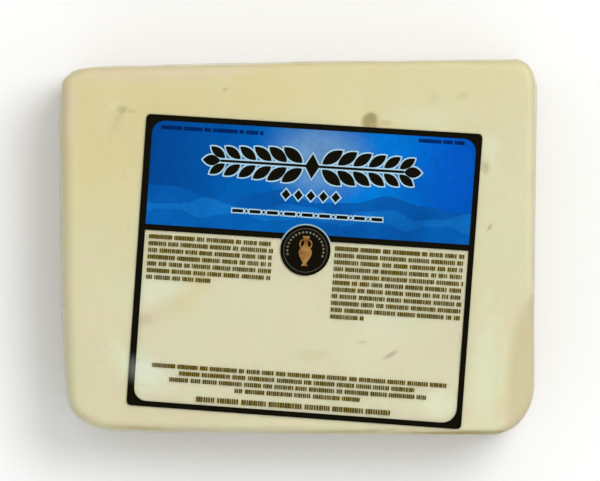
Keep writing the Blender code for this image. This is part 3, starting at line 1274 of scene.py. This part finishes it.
def finish_ink(tree, shader, colour):
    """Gives an ink its colour, a little uneven, whitened in the glare patch by a painted
    reflection, with the sheet's ripples.
    """
    tone = placed_group(tree, uneven_tone_group(), Scale=700.0, Detail=2.0, Contrast=1.5)
    darker = maths(tree, "MULTIPLY", tone, INK_UNEVEN)
    colour = mix_colours(tree, darker, colour, (0.0, 0.0, 0.0))
    # Painted reflection: in the glare patch the ink is mixed towards a whitish colour
    painted_glare = maths(tree, "MULTIPLY", painted_glare_patch(tree), PAINTED_GLARE_ON_INK)
    haze_and_painted_glare = bpy.context.scene.feta.label.haze_and_painted_glare
    feed(tree, shader.inputs["Base Color"], mix_colours(tree, painted_glare, colour, haze_and_painted_glare))
    least, added = INK_ROUGHNESS
    feed(tree, shader.inputs["Roughness"], maths(tree, "MULTIPLY_ADD", tone, added, least))
    ripples = placed_group(tree, film_ripple_group(), Ripples=90.0, Stretch=3.0, Peel=0.2)
    add_bump(tree, shader, ripples, distance=0.05 * MM)


def ink_material(name, colour, wash=None, **clouds):
    """One printing ink. Wash is a shade that lies over it in clouds."""
    material, tree, shader = new_material(name, IOR=INK_IOR)
    if wash:
        colour = washed(tree, colour, wash, **clouds)
    finish_ink(tree, shader, colour)
    return material


def sheet_material(settings):
    """A sheet that hardly shows, but for a patch of painted glare, a whitish reflection, near its
    lower left corner.
    """
    material, tree, shader = new_material("clear_label_sheet", Roughness=0.2, IOR=1.45)
    patch = painted_glare_patch(tree)
    feed(tree, shader.inputs["Base Color"], settings.haze_and_painted_glare)
    # Painted reflection: the sheet turns more opaque and whitish in the glare patch
    alpha = maths(tree, "MULTIPLY_ADD", patch, PAINTED_GLARE_SHARE, SHEET_ALPHA)
    feed(tree, shader.inputs["Alpha"], alpha)
    return material


# The border and the blue panel, in label millimetres
BORDER = {"left": 1.75, "top": 1.5, "right": 1.5, "bottom": 1.45}
BORDER_CORNER = 1.2
INNER_CORNERS = (3.5, 3.4, 3.9, 3.4)
PANEL_FOOT = 29.15
DIVIDER_FOOT = 30.7
PANEL_TUCK = 0.4


def border_mesh():
    """The black frame round the label, and the bar under the blue panel."""
    mesh = bmesh.new()
    right, bottom = PRINT_LENGTH - BORDER["right"], PRINT_WIDTH - BORDER["bottom"]
    outer = rounded_box(0, 0, PRINT_LENGTH, PRINT_WIDTH, (BORDER_CORNER,) * 4)
    inner = rounded_box(BORDER["left"], BORDER["top"], right, bottom, INNER_CORNERS)
    add_strip(mesh, outer, inner, closed=True)
    add_box(mesh, BORDER["left"], PANEL_FOOT, right, DIVIDER_FOOT)
    return mesh


def panel_mesh():
    """The blue field, which runs a little way in under the border."""
    mesh = bmesh.new()
    left, top = BORDER["left"] - PANEL_TUCK, BORDER["top"] - PANEL_TUCK
    right = PRINT_LENGTH - BORDER["right"] + PANEL_TUCK
    add_box(mesh, left, top, right, PANEL_FOOT + PANEL_TUCK)
    return mesh


def label_places(tree):
    """Along and down from the label's upper left corner, in metres, as two outputs."""
    place = add_node(tree, "ShaderNodeTexCoord").outputs["Object"]
    inputs = {"Vector": place, "Location": (*LABEL_CENTRE, 0), "Rotation": (0, 0, LABEL_TURN)}
    turned = add_node(tree, "ShaderNodeMapping", inputs, vector_type="TEXTURE")
    parts = add_node(tree, "ShaderNodeSeparateXYZ", {"Vector": turned.outputs["Vector"]}).outputs
    along = maths(tree, "ADD", parts["X"], PRINT_LENGTH / 2 * MM)
    down = maths(tree, "SUBTRACT", PRINT_WIDTH / 2 * MM, parts["Y"])
    return along, down


# The panel's blues: where along it the bright one and the right end's rise, and its washes
BRIGHT_RISE = (-14.0 * MM, 68.0 * MM)
RIGHT_RISE = (62.0 * MM, 84.0 * MM)
PANEL_WASH = 0.35

# The glow on the panel: its middle along and down the label, its shape, where it starts and is
# full, and its share there
GLOW_PLACE = (46.5 * MM, 8.5 * MM)
GLOW_FLATNESS = 0.8
GLOW_FADE = (14.0 * MM, 2.0 * MM)
GLOW_SHARE = 0.62


def washed(tree, colour, shade, share, scale=70.0):
    """Lays cloudy washes of a shade over a colour."""
    wash = placed_group(tree, uneven_tone_group(), Scale=scale, Detail=3.0, Contrast=3.0)
    return mix_colours(tree, maths(tree, "MULTIPLY", wash, share), colour, shade)


def panel_material(settings):
    """Deep blue at both ends, bright blue between them, and a pale glow in the upper middle."""
    material, tree, shader = new_material("blue_ink", IOR=INK_IOR)
    along, down = label_places(tree)
    from_left = soft_range(tree, along, *BRIGHT_RISE)
    colour = mix_colours(tree, from_left, settings.deep_blue, settings.bright_blue)
    to_right = soft_range(tree, along, *RIGHT_RISE)
    colour = mix_colours(tree, to_right, colour, settings.right_blue)
    off_along, off_down = (
        maths(tree, "SUBTRACT", value, middle) for value, middle in zip((along, down), GLOW_PLACE)
    )
    away = distance_away(tree, maths(tree, "MULTIPLY", off_along, GLOW_FLATNESS), off_down)
    glow = soft_share(tree, away, *GLOW_FADE, GLOW_SHARE)
    colour = mix_colours(tree, glow, colour, settings.glow)
    finish_ink(tree, shader, washed(tree, colour, settings.deep_blue, PANEL_WASH))
    return material


# The waves at the foot of the panel: mean height above its foot, swing, length and phase
WAVES = {
    "sea_light": (9.6, 1.3, 31.0, 0.8),
    "sea_middle": (6.6, 1.1, 23.0, 2.9),
    "sea_dark": (3.6, 0.9, 18.0, 5.2),
}
WAVE_POINTS = 90
WAVE_WASH = 0.55

# The smaller waves that ride on each: their share of its swing, and how much faster they turn
RIPPLE_SHARE = 0.35
RIPPLE_PACE = 2.3


def wave_mesh(mean, swing, length, phase):
    """A band from the foot of the panel up to a rolling line."""
    mesh = bmesh.new()
    left, right = BORDER["left"], PRINT_LENGTH - BORDER["right"]
    crest, foot = [], []
    for k in range(WAVE_POINTS + 1):
        along = left + (right - left) * k / WAVE_POINTS
        turn = 2 * math.pi * along / length + phase
        ripple = RIPPLE_SHARE * math.sin(RIPPLE_PACE * turn + phase)
        rise = mean + swing * (math.sin(turn) + ripple)
        crest.append((along, PANEL_FOOT - rise))
        foot.append((along, PANEL_FOOT))
    add_strip(mesh, foot, crest)
    return mesh


# The leaf band: two branches of paired leaves that run out from a lozenge
BAND_MIDDLE = (44.7, 11.2)
BAND_HALF_LENGTH = 29.0
BAND_LOZENGE = (1.9, 3.3)
BAND_STEM_HALF = 0.32
BAND_START = 2.6
BAND_PAIRS = 6
BAND_STEP = 4.1
BAND_STEM_END = BAND_START + BAND_STEP * (BAND_PAIRS - 0.7)
BAND_TIP_SHARE = 0.3
BAND_LEAF_OFF = 0.75
BAND_LEAF_LENGTH = 6.5
BAND_LEAF_HALF = 1.5
BAND_LEAF_LEAN = math.radians(36)
BAND_TAPER = 0.25
BAND_OUTLINE = 0.42
LEAF_STEPS = 9
LEAF_FULLNESS = 0.8

# How much further a pointed end moves out than a side does, when an outline grows
TIP_GROWTH = 1.2
LOZENGE_GROWTH = 1.3


def leaf_points(foot, angle, length, half_width, grow=0.0):
    """A pointed leaf from its foot along an angle, larger all round by grow."""
    cos, sin = math.cos(angle), math.sin(angle)
    tip = TIP_GROWTH * grow
    points = []
    for side in (1, -1):
        for k in range(LEAF_STEPS):
            share = k / LEAF_STEPS if side == 1 else 1 - k / LEAF_STEPS
            x = share * (length + 2 * tip) - tip
            y = side * (half_width + grow) * math.sin(math.pi * share) ** LEAF_FULLNESS
            points.append((foot[0] + x * cos - y * sin, foot[1] + x * sin + y * cos))
    return points


def lozenge_points(centre, half, grow=0.0):
    a, d = centre
    along, across = (size + LOZENGE_GROWTH * grow for size in half)
    return ((a - along, d), (a, d - across), (a + along, d), (a, d + across))


def band_outlines(grow):
    """The leaf band's outlines, each larger all round by grow."""
    middle_a, middle_d = BAND_MIDDLE
    outlines = [lozenge_points(BAND_MIDDLE, BAND_LOZENGE, grow)]
    for side in (-1, 1):
        ahead = 0.0 if side == 1 else math.pi
        for pair in range(BAND_PAIRS):
            size = 1 - BAND_TAPER * pair / (BAND_PAIRS - 1)
            foot_a = middle_a + side * (BAND_START + BAND_STEP * pair)
            for way in (-1, 1):
                foot = (foot_a, middle_d + way * BAND_LEAF_OFF)
                angle = ahead + side * way * BAND_LEAF_LEAN
                shape = (BAND_LEAF_LENGTH * size, BAND_LEAF_HALF * size, grow)
                outlines.append(leaf_points(foot, angle, *shape))
        stem_end = middle_a + side * BAND_STEM_END
        ends = sorted((middle_a, stem_end))
        thick = BAND_STEM_HALF + grow
        outlines.append(box_points(ends[0], middle_d - thick, ends[1], middle_d + thick))
        length = BAND_HALF_LENGTH - BAND_STEM_END
        shape = (length, BAND_TIP_SHARE * length, grow)
        outlines.append(leaf_points((stem_end, middle_d), ahead, *shape))
    return outlines


# The row of lozenges and the row of dashes under the band
LOZENGE_COUNT = 5
LOZENGE_MIDDLE = (44.9, 19.0)
LOZENGE_STEP = 3.3
LOZENGE_HALF = (1.15, 1.35)
LOZENGE_OUTLINE = 0.4
DASH_COUNT = 9
DASH_LEFT = 24.4
DASH_RIGHT = 64.2
DASH_MIDDLE = 24.1
DASH_HALF = 0.42
DASH_SHARE = 0.62
DASH_OUTLINE = 0.32


def small_ornament_outlines(grown):
    """Lozenges and, below them, dashes with dots between. Grown is 1 for the pale outlines."""
    outlines = []
    for k in range(LOZENGE_COUNT):
        along = LOZENGE_MIDDLE[0] + (k - (LOZENGE_COUNT - 1) / 2) * LOZENGE_STEP
        middle = (along, LOZENGE_MIDDLE[1])
        outlines.append(lozenge_points(middle, LOZENGE_HALF, grown * LOZENGE_OUTLINE))
    grow = grown * DASH_OUTLINE
    step = (DASH_RIGHT - DASH_LEFT) / (DASH_COUNT - 1 + DASH_SHARE)
    for k in range(DASH_COUNT):
        left = DASH_LEFT + k * step
        right = left + step * DASH_SHARE
        sides = (left - grow, DASH_MIDDLE - DASH_HALF - grow, right + grow)
        outlines.append(box_points(*sides, DASH_MIDDLE + DASH_HALF + grow))
        if k < DASH_COUNT - 1:
            dot = ((right + left + step) / 2, DASH_MIDDLE)
            outlines.append(lozenge_points(dot, (DASH_HALF, DASH_HALF), grow))
    return outlines


# The round seal under the panel
SEAL_CENTRE = (44.5, 33.4)
SEAL_RADIUS = 6.65
SEAL_RIM = 7.0
SEAL_RIM_ARC = (math.radians(201), math.radians(339))
SEAL_FINE_RING = (5.7, 5.78)
SEAL_DOTS = 19
SEAL_DOT_ARC = (math.radians(165), math.radians(375))
SEAL_DOT_PLACE = 4.8
SEAL_DOT_RADIUS = 0.3
RIM_STEPS = 40
DOT_STEPS = 10

# The jar on the seal: its ends, its half width at shares of its height, its handles and its clouds
JAR_TOP = 29.6
JAR_FOOT = 37.5
JAR_PROFILE = (
    (0.0, 0.9),
    (0.06, 0.9),
    (0.1, 0.55),
    (0.28, 0.5),
    (0.36, 0.85),
    (0.46, 1.6),
    (0.56, 1.8),
    (0.68, 1.5),
    (0.82, 0.85),
    (0.92, 0.4),
    (0.95, 0.75),
    (1.0, 0.85),
)
HANDLE_SHARES = (0.1, 0.44)
HANDLE_REACH = 1.25
HANDLE_FOOT = 0.5
HANDLE_WIDTH = 0.36
HANDLE_STEPS = 10
JAR_CLOUDS = {"share": 0.8, "scale": 420.0}


def seal_rim_mesh():
    """The pale rim round the part of the seal that lies on the blue panel."""
    mesh = bmesh.new()
    radii = (SEAL_RADIUS, SEAL_RIM)
    add_strip(mesh, *(arc_points(SEAL_CENTRE, radius, SEAL_RIM_ARC, RIM_STEPS) for radius in radii))
    return mesh


def seal_line_mesh():
    """The fine ring inside the seal's edge, and the arc of dots."""
    mesh = bmesh.new()
    inner, outer = (ring_points(SEAL_CENTRE, radius) for radius in SEAL_FINE_RING)
    add_strip(mesh, inner, outer, closed=True)
    for place in arc_points(SEAL_CENTRE, SEAL_DOT_PLACE, SEAL_DOT_ARC, SEAL_DOTS - 1):
        add_outline(mesh, ring_points(place, SEAL_DOT_RADIUS, DOT_STEPS))
    return mesh


def handle_outlines(side):
    """One handle of the jar as a curved strip of four-sided cells."""
    top, foot = (JAR_TOP + (JAR_FOOT - JAR_TOP) * share for share in HANDLE_SHARES)
    half = (foot - top) / 2
    ovals = ((HANDLE_REACH - HANDLE_WIDTH, half - HANDLE_WIDTH), (HANDLE_REACH, half))
    rows = []
    for k in range(HANDLE_STEPS + 1):
        turn = math.pi * (k / HANDLE_STEPS - 0.5)
        row = []
        for reach, rise in ovals:
            a = SEAL_CENTRE[0] + side * (HANDLE_FOOT + reach * math.cos(turn))
            row.append((a, (top + foot) / 2 + rise * math.sin(turn)))
        rows.append(row)
    return [(*first, *reversed(second)) for first, second in zip(rows, rows[1:])]


def jar_outlines():
    """A two-handled jar: its silhouette and its handles, which overlap it."""
    left, right = [], []
    for share, half_width in JAR_PROFILE:
        d = JAR_TOP + (JAR_FOOT - JAR_TOP) * share
        left.append((SEAL_CENTRE[0] - half_width, d))
        right.append((SEAL_CENTRE[0] + half_width, d))
    return [left + right[::-1], *handle_outlines(-1), *handle_outlines(1)]


# The rows of fine upright ticks


class Row(NamedTuple):
    """A row of ticks: its ends and its foot, their height, and the share that starts heavy."""

    left: float
    right: float
    foot: float
    height: float = 1.12
    heavy_share: float = 0.0


FIRST_LINE = 32.9
LINE_STEP = 1.79


def even_rows(left, right, last_right, heavy_shares):
    """A row for each share, all of one length and one below another, and a shorter last one."""
    rows = []
    for k, heavy in enumerate(heavy_shares):
        rows.append(Row(left, right, FIRST_LINE + LINE_STEP * k, heavy_share=heavy))
    return [*rows, Row(left, last_right, FIRST_LINE + LINE_STEP * len(rows))]


LEFT_ROWS = even_rows(2.9, 36.1, 20.75, (0.36, 0, 0, 0.5, 0, 0.2))
RIGHT_ROWS = even_rows(52.3, 87.0, 61.8, (0.74, 0, 0, 0, 0, 0, 0, 0, 0, 0))
FOOT_ROWS = [
    Row(6.1, 84.6, 66.85, heavy_share=0.22),
    Row(13.4, 76.7, 68.6, heavy_share=0.1),
    Row(10.9, 79.6, 70.35),
    Row(28.4, 62.1, 72.15),
    Row(18.4, 70.6, 75.15, 1.35),
]
NAVY_ROWS = [Row(4.2, 31.4, 3.8, 1.0, 1.0), Row(72.3, 84.9, 3.2, 1.0, 1.0)]
TICK_SEED = 5
TICK_STEP = (0.44, 0.62)
TICK_SHARE = (0.6, 0.88)
HEAVY_SHARE = (0.76, 0.93)
GROUP_TICKS = (3, 14)
GROUP_GAP = 0.5


def tick_rows_mesh(rows):
    """Rows of upright ticks of one height, unevenly spaced, with gaps between their groups."""
    mesh = bmesh.new()
    draw = random.Random(TICK_SEED)
    for row in rows:
        scale = row.height / Row._field_defaults["height"]
        heavy_until = row.left + (row.right - row.left) * row.heavy_share
        along = row.left
        while along < row.right:
            for _ in range(draw.randint(*GROUP_TICKS)):
                step = draw.uniform(*TICK_STEP) * scale
                if along + step > row.right:
                    along = row.right
                    break
                width = step * draw.uniform(*(HEAVY_SHARE if along < heavy_until else TICK_SHARE))
                add_box(mesh, along, row.foot - row.height, along + width, row.foot)
                along += step
            along += GROUP_GAP * scale
    return mesh


# The stage


FLOOR_SIZE = 6.0
FLOOR_GAP = 0.05 * MM
FLOOR_UNEVEN = 0.985
KEY_PLACE = (0.68, 0.56, 1.74)
KEY_SIZE = 0.95
ZENITH_RISE = (0.7, 0.92)
VIEW_CENTRE = (0.4 * MM, 1.86 * MM)
SENSOR = 36.0


def add_key_light(settings):
    """A broad round lamp that shines on the middle of the broad face from far right."""
    lamp = bpy.data.lights.new("key_light", "AREA")
    lamp.shape = "DISK"
    lamp.size = KEY_SIZE
    lamp.energy = settings.key_power
    item = new_object("key_light", lamp)
    item.location = KEY_PLACE
    way = Vector((0, 0, BLOCK_HEIGHT)) - Vector(KEY_PLACE)
    item.rotation_euler = way.to_track_quat("-Z", "Y").to_euler()


def floor_material(settings):
    material, tree, shader = new_material("pale_floor", Roughness=0.9)
    tone = placed_group(tree, uneven_tone_group(), Scale=3.0, Detail=2.0, Contrast=1.0)
    darker = [value * FLOOR_UNEVEN for value in settings.floor]
    feed(tree, shader.inputs["Base Color"], mix_colours(tree, tone, darker, settings.floor))
    return material


def add_floor(settings):
    mesh = bmesh.new()
    half = FLOOR_SIZE / 2
    corners = ((-half, -half), (half, -half), (half, half), (-half, half))
    mesh.faces.new([mesh.verts.new((x, y, -FLOOR_GAP)) for x, y in corners])
    floor = mesh_object("floor", mesh, floor_material(settings))


def add_sky(settings):
    """White light from all round, weaker straight above so that flat glossy ink stays deep."""
    world = bpy.data.worlds.new("soft_sky")
    world.use_nodes = True
    tree = world.node_tree
    background = tree.nodes["Background"]
    background.inputs["Color"].default_value = (1, 1, 1, 1)
    way = add_node(tree, "ShaderNodeTexCoord").outputs["Generated"]
    height = add_node(tree, "ShaderNodeSeparateXYZ", {"Vector": way}).outputs["Z"]
    above = soft_range(tree, height, *ZENITH_RISE)
    fall = maths(tree, "MULTIPLY_ADD", above, settings.zenith - settings.sky, settings.sky)
    feed(tree, background.inputs["Strength"], fall)
    bpy.context.scene.world = world


def add_camera(settings):
    """The camera looks straight down on the broad face, with the far side up."""
    data = bpy.data.cameras.new("camera")
    data.sensor_width = SENSOR
    data.lens = SENSOR * settings.distance / settings.view_width
    data.clip_end = 2 * settings.distance + FLOOR_SIZE
    camera = new_object("camera", data)
    camera.location = (*VIEW_CENTRE, BLOCK_HEIGHT + settings.distance)
    bpy.context.scene.camera = camera


# Operators


class FETA_OT_add_cheese(bpy.types.Operator):
    """Add the cheese, with its pits, cracks, smears and pale patches"""

    bl_idname = "feta.add_cheese"
    bl_label = "Cheese"

    def execute(self, context):
        settings = context.scene.feta.cheese
        material = cheese_material(settings)
        add_piece("feta_cheese", cheese_mesh(settings), material, ["wrapped_block"])
        return {"FINISHED"}


class FETA_OT_add_film(bpy.types.Operator):
    """Add the clear film that is shrunk on the cheese, with its folds"""

    bl_idname = "feta.add_film"
    bl_label = "Clear Film"

    def execute(self, context):
        settings = context.scene.feta.film
        material = film_material(settings)
        film = add_piece("clear_film", film_mesh(settings), material, ["wrapped_block"])
        film.visible_shadow = False
        return {"FINISHED"}


class FETA_OT_add_label_sheet(bpy.types.Operator):
    """Add the label's clear sheet"""

    bl_idname = "feta.add_label_sheet"
    bl_label = "Label Sheet"

    def execute(self, context):
        mesh = bmesh.new()
        over_a = (SHEET_LENGTH / MM - PRINT_LENGTH) / 2
        over_d = (SHEET_WIDTH / MM - PRINT_WIDTH) / 2
        sides = (-over_a, -over_d, PRINT_LENGTH + over_a, PRINT_WIDTH + over_d)
        add_outline(mesh, rounded_box(*sides, (SHEET_CORNER,) * 4))
        lay_on_skin(mesh, SHEET_TOP, SHEET_TOP - SHEET_LOW)
        material = sheet_material(context.scene.feta.label)
        sheet = add_piece("label_sheet", mesh, material, ["label"])
        sheet.visible_shadow = False
        return {"FINISHED"}


class FETA_OT_add_blue_panel(bpy.types.Operator):
    """Add the label's blue panel, the waves at its foot and the black border"""

    bl_idname = "feta.add_blue_panel"
    bl_label = "Blue Panel and Border"

    def execute(self, context):
        settings = context.scene.feta.label
        add_print("blue_panel", panel_mesh(), panel_material(settings))
        for name, wave in WAVES.items():
            ink = ink_material(name, getattr(settings, name), settings.deep_blue, share=WAVE_WASH)
            add_print(name, wave_mesh(*wave), ink)
        add_print("label_border", border_mesh(), black_ink())
        return {"FINISHED"}


@functools.cache
def black_ink():
    return ink_material("black_ink", bpy.context.scene.feta.label.black)


class FETA_OT_add_ornaments(bpy.types.Operator):
    """Add the leaf band, the lozenges and the dashes on the blue panel"""

    bl_idname = "feta.add_ornaments"
    bl_label = "Ornaments"

    def execute(self, context):
        pale = ink_material("outline_ink", context.scene.feta.label.outline)
        shapes = {
            "leaf_band_outline": (band_outlines(BAND_OUTLINE), pale, "print_pale"),
            "leaf_band": (band_outlines(0), black_ink(), "print_black"),
            "ornaments_outline": (small_ornament_outlines(1), pale, "print_pale"),
            "ornaments": (small_ornament_outlines(0), black_ink(), "print_black"),
        }
        for name, (outlines, ink, slot) in shapes.items():
            add_print(name, joined_mesh(outlines), ink)
        return {"FINISHED"}


class FETA_OT_add_seal(bpy.types.Operator):
    """Add the round seal with its rings, dots and two-handled jar"""

    bl_idname = "feta.add_seal"
    bl_label = "Round Seal"

    def execute(self, context):
        settings = context.scene.feta.label
        disc = bmesh.new()
        add_outline(disc, ring_points(SEAL_CENTRE, SEAL_RADIUS))
        add_print("seal_disc", disc, black_ink())
        pale = ink_material("seal_rim_ink", settings.seal_rim)
        add_print("seal_rim", seal_rim_mesh(), pale)
        grey = ink_material("seal_line_ink", settings.seal_lines)
        add_print("seal_lines", seal_line_mesh(), grey)
        tan = ink_material("tan_ink", settings.tan, settings.brown, **JAR_CLOUDS)
        add_print("seal_jar", joined_mesh(jar_outlines()), tan)
        return {"FINISHED"}


class FETA_OT_add_fine_print(bpy.types.Operator):
    """Add the rows of fine ticks on the clear part and on the blue panel"""

    bl_idname = "feta.add_fine_print"
    bl_label = "Fine Print"

    def execute(self, context):
        settings = context.scene.feta.label
        ink = ink_material("fine_print_ink", settings.fine_print)
        groups = {"left_rows": LEFT_ROWS, "right_rows": RIGHT_ROWS, "foot_rows": FOOT_ROWS}
        for name, rows in groups.items():
            add_print(name, tick_rows_mesh(rows), ink)
        navy = ink_material("navy_ink", settings.navy)
        add_print("panel_rows", tick_rows_mesh(NAVY_ROWS), navy)
        return {"FINISHED"}


class FETA_OT_add_stage(bpy.types.Operator):
    """Add the pale floor, the soft lights and the camera"""

    bl_idname = "feta.add_stage"
    bl_label = "Stage"

    def execute(self, context):
        settings = context.scene.feta.stage
        add_floor(settings)
        add_sky(settings)
        add_key_light(settings)
        add_camera(settings)
        context.scene.view_settings.view_transform = "Standard"
        return {"FINISHED"}


class FETA_PT_sidebar(bpy.types.Panel):
    """Lists the pieces of the feta block and their settings"""

    bl_label = "Feta Block"
    bl_idname = "FETA_PT_sidebar"
    bl_space_type = "VIEW_3D"
    bl_region_type = "UI"
    bl_category = "Feta"

    def draw(self, context):
        layout = self.layout
        settings = context.scene.feta
        for group in (settings.cheese, settings.film, settings.label, settings.stage):
            box = layout.box()
            for name in group.bl_rna.properties.keys():
                if name not in ("rna_type", "name"):
                    box.prop(group, name)
        for operator in OPERATORS:
            layout.operator(operator.bl_idname)


OPERATORS = (
    FETA_OT_add_cheese,
    FETA_OT_add_film,
    FETA_OT_add_label_sheet,
    FETA_OT_add_blue_panel,
    FETA_OT_add_ornaments,
    FETA_OT_add_seal,
    FETA_OT_add_fine_print,
    FETA_OT_add_stage,
)
CLASSES = (
    FetaCheeseSettings,
    FetaFilmSettings,
    FetaLabelSettings,
    FetaStageSettings,
    FetaSettings,
    *OPERATORS,
    FETA_PT_sidebar,
)


def register():
    for item in CLASSES:
        bpy.utils.register_class(item)
    bpy.types.Scene.feta = PointerProperty(type=FetaSettings)


def unregister():
    del bpy.types.Scene.feta
    for item in reversed(CLASSES):
        bpy.utils.unregister_class(item)


def main():
    register()
    bpy.ops.feta.add_stage()
    bpy.ops.feta.add_cheese()
    bpy.ops.feta.add_film()
    bpy.ops.feta.add_label_sheet()
    bpy.ops.feta.add_blue_panel()
    bpy.ops.feta.add_ornaments()
    bpy.ops.feta.add_seal()
    bpy.ops.feta.add_fine_print()


if __name__ == "__main__":
    main()
